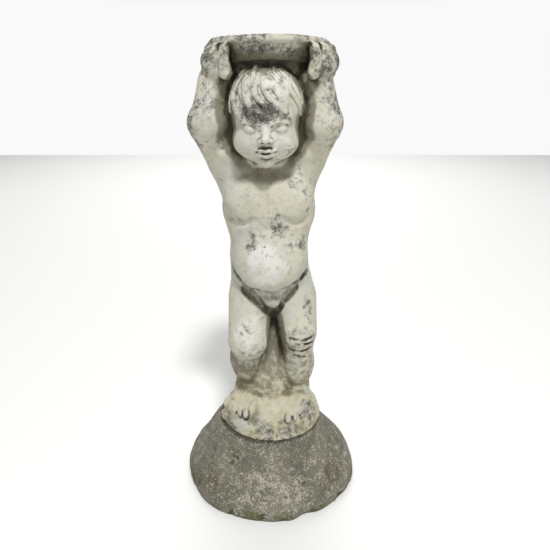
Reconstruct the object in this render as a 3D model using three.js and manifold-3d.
// A cast-concrete garden cherub that carries a shallow bowl over its head, bedded on a bell-shaped foot.
// Millimetres, +Z up, the child faces -Y (so its right side is at -X), and the origin is the middle of
// the foot's underside.
//
// The figure is modelled as a sculptor builds in clay: rounded masses are pressed together one after
// another, each with its own softness, and the skin is drawn where the clay ends.

import * as THREE from 'three';
import { mergeVertices } from 'three/addons/utils/BufferGeometryUtils.js';
import Module from 'manifold-3d';

// ---------- driving dimensions ----------

const HEIGHT = 765; // ground to the top of the bowl's rim, at the front
const FOOT_RADIUS = 161;
const FOOT_HEIGHT = 113;
const BED_GAP = 0.4; // the mortar line between the foot and the plinth
const PLINTH_RADIUS = 92;
const MOUND_HEIGHT = 178;
const BOWL_RADIUS = 90.5;
const BOWL_THICKNESS = 35;
const BOWL_DEPTH = 19;
const BOWL_FLOOR_RADIUS = 56;
const BOWL_MOUTH_RADIUS = 77;
const BOWL_TIP = 3.5; // degrees that the bowl tips back from the front
const RIM_HEIGHT = HEIGHT - BOWL_RADIUS * Math.sin(THREE.MathUtils.degToRad(BOWL_TIP)); // at its middle
const LEAN = -5; // how far the upper body stands to the child's right of the plinth
const FIGURE_TRIANGLES = 7200; // of the clay, before the bowl and the underside are cut
const HEAD = [LEAN + 1, -42, 662]; // the middle of the skull

// ---------- clay: distances in millimetres, negative inside ----------

const clamp = (value, low, high) => Math.min(high, Math.max(low, value));

// An ellipsoid of the given half sizes, leaned about X and rolled about Y, in degrees.
function ball(centre, radii, lean = 0, roll = 0) {
  const angles = new THREE.Euler(THREE.MathUtils.degToRad(lean), THREE.MathUtils.degToRad(roll), 0, 'YXZ');
  const e = new THREE.Matrix4().makeRotationFromEuler(angles).elements;
  const [a, b, c] = radii;
  return (x, y, z) => {
    const dx = x - centre[0];
    const dy = y - centre[1];
    const dz = z - centre[2];
    const u = (dx * e[0] + dy * e[1] + dz * e[2]) / a;
    const v = (dx * e[4] + dy * e[5] + dz * e[6]) / b;
    const w = (dx * e[8] + dy * e[9] + dz * e[10]) / c;
    const scaled = Math.hypot(u, v, w);
    const slope = Math.hypot(u / a, v / b, w / c);
    return slope < 1e-9 ? -Math.min(a, b, c) : (scaled * (scaled - 1)) / slope;
  };
}

// A limb with round ends that tapers from one point to another.
function limb(from, to, fromRadius, toRadius) {
  const axis = to.map((value, i) => value - from[i]);
  const lengthSquared = axis.reduce((sum, value) => sum + value * value, 0);
  return (x, y, z) => {
    const dx = x - from[0];
    const dy = y - from[1];
    const dz = z - from[2];
    const t = clamp((dx * axis[0] + dy * axis[1] + dz * axis[2]) / lengthSquared, 0, 1);
    const gap = Math.hypot(dx - t * axis[0], dy - t * axis[1], dz - t * axis[2]);
    return gap - (fromRadius + (toRadius - fromRadius) * t);
  };
}

// A box with rounded edges.
function slab(centre, half, round) {
  return (x, y, z) => {
    const qx = Math.abs(x - centre[0]) - half[0] + round;
    const qy = Math.abs(y - centre[1]) - half[1] + round;
    const qz = Math.abs(z - centre[2]) - half[2] + round;
    const outside = Math.hypot(Math.max(qx, 0), Math.max(qy, 0), Math.max(qz, 0));
    return outside + Math.min(Math.max(qx, qy, qz), 0) - round;
  };
}

// An upright cone frustum with a rounded edge.
function drum([x0, y0], low, high, lowRadius, highRadius, round) {
  const middle = (low + high) / 2;
  const taper = Math.cos(Math.atan2(lowRadius - highRadius, high - low));
  return (x, y, z) => {
    const t = clamp((z - low) / (high - low), 0, 1);
    const side = Math.hypot(x - x0, y - y0) - (lowRadius + (highRadius - lowRadius) * t);
    const qr = side * taper + round;
    const qz = Math.abs(z - middle) - (high - low) / 2 + round;
    return Math.hypot(Math.max(qr, 0), Math.max(qz, 0)) + Math.min(Math.max(qr, qz), 0) - round;
  };
}

// A bead of round section that follows the listed points and tapers evenly.
function bead(points, fromRadius, toRadius) {
  const radius = (i) => fromRadius + ((toRadius - fromRadius) * i) / (points.length - 1);
  const links = points.slice(1).map((point, i) => limb(points[i], point, radius(i), radius(i + 1)));
  return (x, y, z) => links.reduce((nearest, link) => Math.min(nearest, link(x, y, z)), 1e3);
}

// Masses in the order in which they are pressed on; blend is how far two of them run together.
class Clay {
  constructor() {
    this.masses = [];
  }
  add(blend, ...shapes) {
    shapes.forEach((shape) => this.masses.push({ shape, blend, sign: 1 }));
    return this;
  }
  carve(blend, ...shapes) {
    shapes.forEach((shape) => this.masses.push({ shape, blend, sign: -1 }));
    return this;
  }
  distance(x, y, z) {
    let d = 1e3;
    for (const { shape, blend, sign } of this.masses) {
      const own = sign * d;
      const other = shape(x, y, z);
      const overlap = Math.max(blend - Math.abs(own - other), 0);
      d = sign * (Math.min(own, other) - (overlap * overlap) / (4 * blend));
    }
    return d;
  }
}

// A bead that runs over the clay's front (side -1) or back (side 1) through the listed [x, z] places,
// its centre line standing proud of the skin there.
function onSkin(clay, side, places, fromRadius, toRadius, proud) {
  const points = places.map(([x, z]) => {
    let [outside, inside] = [side * 140, 0];
    for (let halving = 0; halving < 16; halving += 1) {
      const y = (outside + inside) / 2;
      if (clay.distance(x, y, z) < 0) inside = y;
      else outside = y;
    }
    return [x, outside + side * proud, z];
  });
  return bead(points, fromRadius, toRadius);
}

// ---------- the figure's masses ----------

function addMound(clay) {
  clay.add(1, drum([3, 0], FOOT_HEIGHT - 10, 138, PLINTH_RADIUS + 5, PLINTH_RADIUS - 11, 6));
  clay.add(12, drum([4, 0], 125, MOUND_HEIGHT, PLINTH_RADIUS - 6, 57, 12));
}

function addTorso(clay) {
  clay.add(20, ball([5, 0, 372], [68, 50, 48]));
  clay.add(30, ball([-3, 2, 430], [68, 46, 80]));
  clay.add(26, ball([-1, -4, 510], [76, 52, 70]));
  clay.add(24, ball([LEAN, 2, 565], [74, 44, 44]));
  // breast and belly
  clay.add(18, ball([-34, -30, 536], [36, 27, 30]), ball([30, -30, 536], [36, 27, 30]));
  clay.add(14, ball([1, -30, 420], [60, 50, 62]));
  clay.add(20, ball([-2, -26, 548], [42, 25, 30]));
  // seat and shoulder blades
  clay.add(14, ball([-28, 32, 366], [38, 29, 36]), ball([36, 32, 366], [38, 29, 36]));
  clay.add(14, ball([-38, 34, 548], [26, 16, 32], 0, -14), ball([30, 34, 548], [26, 16, 32], 0, 14));
  clay.carve(12, onSkin(clay, 1, [[-3, 586], [-2, 540], [0, 480], [2, 430], [4, 384]], 6, 5, 3));
  // the crease below the breast
  clay.carve(12, onSkin(clay, -1, [[-58, 510], [-40, 503], [-20, 502]], 5, 5, 3.5));
  clay.carve(12, onSkin(clay, -1, [[18, 502], [36, 503], [54, 510]], 5, 5, 3.5));
}

function addLegs(clay) {
  // the stump that the child leans back on
  clay.add(8, limb([2, 14, 320], [2, 8, 165], 29, 50));
  // its right leg, bent, with the knee forward
  clay.add(12, limb([-33, -8, 352], [-36, -50, 294], 38, 35));
  clay.add(8, limb([-37, -28, 262], [-43, -6, 180], 26, 17));
  clay.add(10, ball([-43, -2, 232], [30, 31, 44]));
  // its left leg, straighter
  clay.add(12, limb([42, -6, 350], [48, -32, 306], 39, 33));
  clay.add(8, limb([49, -34, 292], [50, -10, 182], 29, 19));
  clay.add(10, ball([50, -6, 228], [31, 33, 44]));
  // its kneecap
  clay.add(8, ball([45, -58, 296], [17, 9, 14]));
  // the folds under the belly and along the groin, and the gap between the thighs
  const under = [[-58, 402], [-46, 388], [-28, 377], [0, 371], [28, 377], [48, 388], [60, 400]];
  clay.carve(8, onSkin(clay, -1, under, 4, 4, 1));
  clay.carve(7, onSkin(clay, -1, [[-58, 384], [-36, 366], [-10, 346], [3, 332]], 3, 4, 1));
  clay.carve(7, onSkin(clay, -1, [[64, 382], [42, 364], [16, 346], [4, 332]], 3, 4, 1));
  // creases at the straight knee
  clay.carve(5, onSkin(clay, -1, [[20, 288], [44, 281], [70, 288]], 3, 3, 0));
}

function addFeet(clay) {
  clay.add(8, limb([-43, -8, 172], [-60, -44, 147], 21, 14), limb([-46, -56, 145], [-74, -34, 145], 11, 9));
  clay.add(8, limb([51, -8, 172], [56, -46, 147], 22, 14), limb([36, -60, 145], [73, -38, 145], 11, 9));
  for (let i = 0; i < 5; i += 1) {
    const t = i / 4;
    const size = 8 - 2.4 * t;
    clay.add(3, ball([-45 - 37 * t, -69 + 32 * t - 10 * t * (1 - t), 142], [size, size + 3, size]));
    clay.add(3, ball([33 + 48 * t, -72 + 34 * t - 18 * t * (1 - t), 142], [size, size + 3, size]));
  }
}

function addArms(clay) {
  // the web of concrete left between the arms, the head and the bowl
  clay.add(16, slab([LEAN, -9, 648], [84, 24, 86], 22));
  clay.add(14, limb([LEAN + 2, -6, 575], [LEAN + 2, -20, 620], 38, 36));
  clay.add(14, drum([0, -4], 690, RIM_HEIGHT - 20, 50, 56, 10));
  for (const side of [-1, 1]) {
    const x = (offset) => LEAN + side * offset;
    clay.add(20, limb([x(50), 0, 562], [x(84), -36, 630], 33, 28));
    clay.add(12, ball([x(85), -42, 643], [29, 27, 30]));
    clay.add(10, limb([x(84), -42, 650], [x(79), -34, 706], 28, 19));
  }
}

function addHands(clay) {
  for (const side of [-1, 1]) {
    const x = (offset) => side * offset + 1.5;
    clay.add(5, ball([x(78), -38, 730], [20, 24, 19]));
    for (let finger = 0; finger < 4; finger += 1) {
      const turn = THREE.MathUtils.degToRad(9 + 13 * finger);
      const on = (radius, z) => [x(radius * Math.cos(turn)), -radius * Math.sin(turn), z];
      clay.add(3, bead([on(94, 722), on(97, 740), on(91, 752)], 8, 7));
    }
    clay.add(4, ball([x(70), -62, 728], [10, 11, 14], 20));
  }
}

function addHead(clay) {
  const tilt = THREE.MathUtils.degToRad(7);
  // right, forward and up from the middle of the skull, in the tilted head's own directions
  const at = (right, forward, up) => [
    HEAD[0] + right,
    HEAD[1] - forward * Math.cos(tilt) - up * Math.sin(tilt),
    HEAD[2] - forward * Math.sin(tilt) + up * Math.cos(tilt),
  ];
  const lean = 7;
  clay.add(6, ball(at(0, 0, 4), [53, 56, 57], lean), ball(at(0, -38, 0), [57, 54, 58], lean));
  clay.add(12, ball(at(0, 14, -32), [46, 38, 40], lean));
  for (const side of [-1, 1]) {
    clay.add(12, ball(at(side * 26, 27, -36), [21, 20, 19], lean));
    clay.carve(8, ball(at(side * 20, 60, -13), [14, 10, 8], lean));
    clay.add(3, ball(at(side * 21, 43, -14), [11, 10, 7], lean));
  }
  // chin, nose and lips
  clay.add(9, ball(at(0, 38, -61), [14, 12, 10], lean));
  clay.add(6, limb(at(0, 49, -10), at(0, 55, -27), 4, 6.5));
  clay.add(3, ball(at(-7.5, 50, -29), [5.5, 6, 4.5], lean), ball(at(7.5, 50, -29), [5.5, 6, 4.5], lean));
  clay.add(4, ball(at(0, 46, -42.5), [14, 6, 4], lean), ball(at(0, 45, -50), [11, 6.5, 4], lean));
  clay.carve(1.5, bead([at(-14, 52, -45), at(0, 54.5, -46.5), at(14, 52, -45)], 1.6, 1.6));
  // hair: locks that sweep from the crown, each a bead over the skull with its tip turned aside
  const lock = (from, to, low, width) => {
    const points = [];
    for (let n = 0; n <= 5; n += 1) {
      const t = n / 5;
      const away = THREE.MathUtils.degToRad(14 + (low - 14) * t);
      const round = THREE.MathUtils.degToRad(from + (to - from) * t * t);
      const out = Math.sin(away);
      const deep = Math.cos(round) > 0 ? 56 : 91;
      points.push(at(53 * out * Math.sin(round), deep * out * Math.cos(round), 4 + 57 * Math.cos(away)));
    }
    return bead(points, width, width * 0.55);
  };
  const around = 22;
  for (let n = 0; n < around; n += 1) {
    const turn = (360 * n) / around;
    const behind = (1 - Math.cos(THREE.MathUtils.degToRad(turn))) / 2;
    const low = 74 + 62 * behind + 5 * Math.sin(n * 2.4);
    clay.add(3, lock(turn - 26, turn + 8 * Math.sin(n * 1.7), low, 8.5));
  }
  // the forelock
  clay.add(3, lock(-34, 2, 84, 8), lock(30, 8, 80, 7.5));
}

// ---------- from clay to solids ----------

// Grid lines: [start, step] pairs, each step used until the next start, and the end.
function gridLines(stretches, end) {
  const lines = [];
  stretches.forEach(([start, step], i) => {
    const stop = i + 1 < stretches.length ? stretches[i + 1][0] : end;
    const count = Math.max(1, Math.round((stop - start) / step));
    for (let n = 0; n < count; n += 1) lines.push(start + ((stop - start) * n) / count);
  });
  lines.push(end);
  return lines;
}

// Closes the crevices too narrow for the grid, where the skin would touch itself: the corners inside a
// cell, and those outside it, must each hang together along the cell's edges.
function fillPinches(values, [nx, ny, nz], corners, index) {
  const together = (inside) => {
    const first = inside.indexOf(true);
    const seen = new Set([first]);
    const queue = [first];
    while (queue.length) {
      const corner = queue.pop();
      for (const bit of [1, 2, 4]) {
        const next = corner ^ bit;
        if (inside[next] && !seen.has(next)) {
          seen.add(next);
          queue.push(next);
        }
      }
    }
    return first < 0 || seen.size === inside.filter(Boolean).length;
  };
  let changed = true;
  while (changed) {
    changed = false;
    for (let k = 0; k + 1 < nz; k += 1) {
      for (let j = 0; j + 1 < ny; j += 1) {
        for (let i = 0; i + 1 < nx; i += 1) {
          const at = corners.map(([a, b, c]) => index(i + a, j + b, k + c));
          const inside = at.map((place) => values[place] < 0);
          if (together(inside) && together(inside.map((flag) => !flag))) continue;
          const outer = at.filter((place) => values[place] >= 0);
          const nearest = outer.reduce((best, place) => (values[place] < values[best] ? place : best));
          values[nearest] = -0.2;
          changed = true;
        }
      }
    }
  }
}

// The skin of the clay: one vertex in each grid cell that the surface crosses, one quad across each
// grid edge that it crosses; then each vertex is eased toward its neighbours and set back on the clay.
function skin(clay, xs, ys, zs) {
  const [nx, ny, nz] = [xs.length, ys.length, zs.length];
  const index = (i, j, k) => (k * ny + j) * nx + i;
  const values = new Float32Array(nx * ny * nz);
  for (let k = 0; k < nz; k += 1) {
    for (let j = 0; j < ny; j += 1) {
      for (let i = 0; i < nx; i += 1) values[index(i, j, k)] = clay.distance(xs[i], ys[j], zs[k]);
    }
  }

  const corners = [];
  for (let n = 0; n < 8; n += 1) corners.push([n & 1, (n >> 1) & 1, (n >> 2) & 1]);
  const edges = [];
  for (let a = 0; a < 8; a += 1) {
    for (const bit of [1, 2, 4]) if (!(a & bit)) edges.push([a, a | bit]);
  }
  fillPinches(values, [nx, ny, nz], corners, index);
  const cells = new Int32Array(nx * ny * nz).fill(-1);
  const points = [];
  const reach = [];
  for (let k = 0; k + 1 < nz; k += 1) {
    for (let j = 0; j + 1 < ny; j += 1) {
      for (let i = 0; i + 1 < nx; i += 1) {
        const sum = [0, 0, 0];
        let crossings = 0;
        for (const [a, b] of edges) {
          const [p, q] = [corners[a], corners[b]];
          const va = values[index(i + p[0], j + p[1], k + p[2])];
          const vb = values[index(i + q[0], j + q[1], k + q[2])];
          if (va < 0 === vb < 0) continue;
          const t = va / (va - vb);
          sum[0] += xs[i + p[0]] + (xs[i + q[0]] - xs[i + p[0]]) * t;
          sum[1] += ys[j + p[1]] + (ys[j + q[1]] - ys[j + p[1]]) * t;
          sum[2] += zs[k + p[2]] + (zs[k + q[2]] - zs[k + p[2]]) * t;
          crossings += 1;
        }
        if (!crossings) continue;
        cells[index(i, j, k)] = points.length;
        points.push(sum.map((value) => value / crossings));
        reach.push(0.4 * Math.min(xs[i + 1] - xs[i], ys[j + 1] - ys[j], zs[k + 1] - zs[k]));
      }
    }
  }

  const quads = [];
  for (let k = 1; k + 1 < nz; k += 1) {
    for (let j = 1; j + 1 < ny; j += 1) {
      for (let i = 1; i + 1 < nx; i += 1) {
        const here = values[index(i, j, k)] < 0;
        const cell = (di, dj, dk) => cells[index(i - di, j - dj, k - dk)];
        const put = (quad, inside) => quads.push(inside ? quad : quad.reverse());
        if (here !== values[index(i + 1, j, k)] < 0) {
          put([cell(0, 1, 1), cell(0, 0, 1), cell(0, 0, 0), cell(0, 1, 0)], here);
        }
        if (here !== values[index(i, j + 1, k)] < 0) {
          put([cell(1, 0, 1), cell(1, 0, 0), cell(0, 0, 0), cell(0, 0, 1)], here);
        }
        if (here !== values[index(i, j, k + 1)] < 0) {
          put([cell(1, 1, 0), cell(0, 1, 0), cell(0, 0, 0), cell(1, 0, 0)], here);
        }
      }
    }
  }

  const settle = (point, most) => {
    const h = 0.5;
    const [x, y, z] = point;
    const d = clay.distance(x, y, z);
    const slope = [
      (clay.distance(x + h, y, z) - clay.distance(x - h, y, z)) / (2 * h),
      (clay.distance(x, y + h, z) - clay.distance(x, y - h, z)) / (2 * h),
      (clay.distance(x, y, z + h) - clay.distance(x, y, z - h)) / (2 * h),
    ];
    const steep = Math.max(slope[0] ** 2 + slope[1] ** 2 + slope[2] ** 2, 0.25);
    return point.map((value, axis) => value - clamp((d * slope[axis]) / steep, -most, most));
  };
  const neighbours = points.map(() => []);
  quads.forEach((quad) => {
    quad.forEach((vertex, n) => neighbours[vertex].push(quad[(n + 1) % 4]));
  });
  let settled = points;
  for (let pass = 0; pass < 3; pass += 1) {
    const eased = settled.map((point, vertex) => {
      const around = neighbours[vertex];
      return point.map((value, axis) => {
        const mean = around.reduce((sum, other) => sum + settled[other][axis], 0) / around.length;
        return value + 0.35 * (mean - value);
      });
    });
    settled = eased.map((point, vertex) => settle(point, reach[vertex]));
  }

  const apart = (a, b) => Math.hypot(...settled[a].map((value, axis) => value - settled[b][axis]));
  const triangles = [];
  quads.forEach(([a, b, c, d]) => {
    if (apart(a, c) < apart(b, d)) triangles.push(a, b, c, a, c, d);
    else triangles.push(a, b, d, b, c, d);
  });
  const geometry = new THREE.BufferGeometry();
  geometry.setAttribute('position', new THREE.Float32BufferAttribute(settled.flat(), 3));
  geometry.setIndex(triangles);
  return geometry;
}

// Thins the skin where it is nearly flat. Every vertex remembers the planes round it, and the edges
// whose loss moves the surface least from those planes are closed first, in rounds. Planes count by
// their area and by the importance of their place.
function thin(geometry, target, importance) {
  const place = geometry.getAttribute('position');
  const points = Array.from({ length: place.count }, (_, i) => new THREE.Vector3().fromBufferAttribute(place, i));
  const faces = [];
  const facesOf = points.map(() => new Set());
  const index = geometry.getIndex().array;
  for (let i = 0; i < index.length; i += 3) {
    const face = [index[i], index[i + 1], index[i + 2]];
    face.forEach((vertex) => facesOf[vertex].add(faces.length));
    faces.push(face);
  }
  const normalOf = ([a, b, c], moved = -1, to = null) => {
    const [p, q, r] = [a, b, c].map((vertex) => (vertex === moved ? to : points[vertex]));
    return q.clone().sub(p).cross(r.clone().sub(p));
  };
  const planes = points.map(() => new Float64Array(10));
  faces.forEach((face) => {
    const normal = normalOf(face);
    const area = normal.length();
    const weight = area * importance(points[face[0]]);
    normal.divideScalar(area || 1);
    const w = -normal.dot(points[face[0]]);
    const plane = [normal.x, normal.y, normal.z, w];
    let n = 0;
    for (let i = 0; i < 4; i += 1) {
      for (let j = i; j < 4; j += 1) {
        face.forEach((vertex) => {
          planes[vertex][n] += weight * plane[i] * plane[j];
        });
        n += 1;
      }
    }
  });
  const error = (q, { x, y, z }) =>
    q[0] * x * x + 2 * q[1] * x * y + 2 * q[2] * x * z + 2 * q[3] * x + q[4] * y * y +
    2 * q[5] * y * z + 2 * q[6] * y + q[7] * z * z + 2 * q[8] * z + q[9];
  const proposal = (a, b) => {
    const q = planes[a].map((value, i) => value + planes[b][i]);
    const middle = points[a].clone().add(points[b]).multiplyScalar(0.5);
    const system = new THREE.Matrix3().set(q[0], q[1], q[2], q[1], q[4], q[5], q[2], q[5], q[7]);
    const size = (q[0] + q[4] + q[7]) / 3;
    const choices = [middle, points[a].clone(), points[b].clone()];
    if (system.determinant() > 2e-4 * size ** 3) {
      const best = new THREE.Vector3(-q[3], -q[6], -q[8]).applyMatrix3(system.invert());
      if (best.distanceTo(middle) < points[a].distanceTo(points[b])) choices.push(best);
    }
    const to = choices.reduce((best, choice) => (error(q, choice) < error(q, best) ? choice : best));
    return { a, b, to, q, cost: error(q, to) + 4e-4 * size * points[a].distanceToSquared(points[b]) };
  };
  const around = (vertex) => {
    const set = new Set();
    facesOf[vertex].forEach((f) => faces[f].forEach((other) => other !== vertex && set.add(other)));
    return set;
  };
  let count = faces.length;
  while (count > target) {
    const proposals = [];
    facesOf.forEach((_, a) => around(a).forEach((b) => b > a && proposals.push(proposal(a, b))));
    proposals.sort((one, other) => one.cost - other.cost);
    const touched = new Set();
    const before = count;
    for (const { a, b, to, q } of proposals.slice(0, Math.ceil(proposals.length / 5))) {
      if (count <= target) break;
      if (touched.has(a) || touched.has(b)) continue;
      const ring = around(b);
      const shared = [...around(a)].filter((vertex) => ring.has(vertex));
      if (shared.length !== 2) continue;
      const flips = [a, b].some((vertex) =>
        [...facesOf[vertex]].some((f) => {
          if (faces[f].includes(a) && faces[f].includes(b)) return false;
          const was = normalOf(faces[f]);
          const is = normalOf(faces[f], vertex, to);
          return was.dot(is) < 0.5 * was.length() * is.length();
        }),
      );
      if (flips) continue;
      around(a).forEach((vertex) => touched.add(vertex));
      ring.forEach((vertex) => touched.add(vertex));
      [...facesOf[b]].forEach((f) => {
        if (faces[f].includes(a)) {
          faces[f].forEach((vertex) => facesOf[vertex].delete(f));
          faces[f] = null;
          count -= 1;
        } else {
          faces[f] = faces[f].map((vertex) => (vertex === b ? a : vertex));
          facesOf[a].add(f);
        }
      });
      facesOf[b].clear();
      points[a].copy(to);
      planes[a] = q;
    }
    if (count === before) break;
  }
  const thinned = new THREE.BufferGeometry().setFromPoints(points);
  thinned.setIndex(faces.filter(Boolean).flat());
  return thinned;
}

// A turned solid from its half profile, [radius, height] points listed upward on the outside.
function turned(profile, segments) {
  const geometry = new THREE.LatheGeometry(profile.map(([r, z]) => new THREE.Vector2(r, z)), segments);
  return geometry.rotateX(Math.PI / 2);
}

const wasm = await Module();
wasm.setup();

function toSolid(geometry) {
  const plain = new THREE.BufferGeometry();
  plain.setAttribute('position', geometry.getAttribute('position'));
  plain.setIndex(geometry.getIndex());
  const merged = mergeVertices(plain, 1e-3);
  const kept = [];
  const all = merged.index.array;
  for (let i = 0; i < all.length; i += 3) {
    const [a, b, c] = [all[i], all[i + 1], all[i + 2]];
    if (a !== b && b !== c && c !== a) kept.push(a, b, c);
  }
  return new wasm.Manifold(
    new wasm.Mesh({
      numProp: 3,
      vertProperties: merged.attributes.position.array,
      triVerts: new Uint32Array(kept),
    }),
  );
}

function toMesh(name, solid, colour) {
  const { vertProperties, triVerts } = solid.getMesh();
  const geometry = new THREE.BufferGeometry();
  geometry.setAttribute('position', new THREE.Float32BufferAttribute(vertProperties, 3));
  geometry.setIndex(Array.from(triVerts));
  geometry.computeVertexNormals();
  const mesh = new THREE.Mesh(geometry, new THREE.MeshStandardMaterial({ color: colour, roughness: 0.9 }));
  mesh.name = name;
  return mesh;
}

// ---------- the two castings ----------

function cherubFigure() {
  const clay = new Clay();
  addMound(clay);
  addTorso(clay);
  addLegs(clay);
  addFeet(clay);
  addArms(clay);
  addHead(clay);
  addHands(clay);
  const xs = gridLines([[-140, 8], [-104, 6], [-58, 3.6], [50, 6], [100, 8]], 132);
  const ys = gridLines([[-126, 4], [-60, 6], [-26, 8]], 114);
  const zs = gridLines([[84, 10], [116, 5], [160, 9], [578, 6], [588, 3.6], [702, 4.6]], 776);
  // the face, the hands and the toes keep more of their triangles
  const importance = ({ x, y, z }) => {
    if (z > 590 && z < 700 && y < -66) return 14;
    if (z > 590 && y < -30) return 4;
    return z > 128 && z < 156 && y < -30 ? 5 : 1;
  };
  const body = toSolid(thin(skin(clay, xs, ys, zs), FIGURE_TRIANGLES, importance));
  const under = new THREE.BoxGeometry(400, 400, 100);
  under.translate(0, 0, FOOT_HEIGHT + BED_GAP - 50);
  const bowl = turned(
    [
      [0, -BOWL_THICKNESS],
      [54, -BOWL_THICKNESS],
      [68, 4 - BOWL_THICKNESS],
      [76, 13 - BOWL_THICKNESS],
      [82, 22 - BOWL_THICKNESS],
      [BOWL_RADIUS - 1, -9],
      [BOWL_RADIUS, -4],
      [BOWL_RADIUS - 4, 0],
      [0, 0],
    ],
    64,
  );
  bowl.rotateX(-THREE.MathUtils.degToRad(BOWL_TIP));
  bowl.translate(0, 0, RIM_HEIGHT);
  const floor = RIM_HEIGHT - BOWL_DEPTH;
  const hollow = turned(
    [
      [0, floor],
      [BOWL_FLOOR_RADIUS, floor],
      [BOWL_FLOOR_RADIUS + 10, floor + 4],
      [BOWL_MOUTH_RADIUS - 3, floor + 12],
      [BOWL_MOUTH_RADIUS, RIM_HEIGHT + 12],
      [0, RIM_HEIGHT + 12],
    ],
    64,
  );
  return body.subtract(toSolid(under)).add(toSolid(bowl)).subtract(toSolid(hollow));
}

function roundFoot() {
  const top = PLINTH_RADIUS + 1;
  const profile = [
    [0, 0],
    [FOOT_RADIUS - 5, 0],
    [FOOT_RADIUS, 8],
    [FOOT_RADIUS - 9, 30],
    [FOOT_RADIUS - 30, 55],
    [top + 19, 78],
    [top + 7, 96],
    [top + 2, 107],
    [top, FOOT_HEIGHT],
    [0, FOOT_HEIGHT],
  ];
  const foot = turned(profile, 56);
  // hand-made: a little out of round, with the lower edge chipped away at the front
  const place = foot.getAttribute('position');
  for (let i = 0; i < place.count; i += 1) {
    const [x, y, z] = [place.getX(i), place.getY(i), place.getZ(i)];
    const turn = Math.atan2(x, -y);
    const low = 1 - z / FOOT_HEIGHT;
    const uneven = 0.014 * Math.sin(2 * turn + 0.6) + 0.01 * Math.sin(3 * turn + 4) + 0.007 * Math.sin(7 * turn);
    const chip = 0.05 * Math.exp(-(((turn - 0.4) / 0.1) ** 2)) * Math.max(0, 1 - z / 22);
    const scale = 1 + low * uneven - chip;
    place.setXYZ(i, x * scale, y * scale, z);
  }
  foot.computeBoundingBox();
  const middle = foot.boundingBox.getCenter(new THREE.Vector3());
  foot.translate(-middle.x, -middle.y, 0);
  return toSolid(foot);
}

const group = new THREE.Group();
group.add(toMesh('cherub_figure', cherubFigure(), 0xcfccba));
group.add(toMesh('round_base', roundFoot(), 0x8f9089));

export default group;
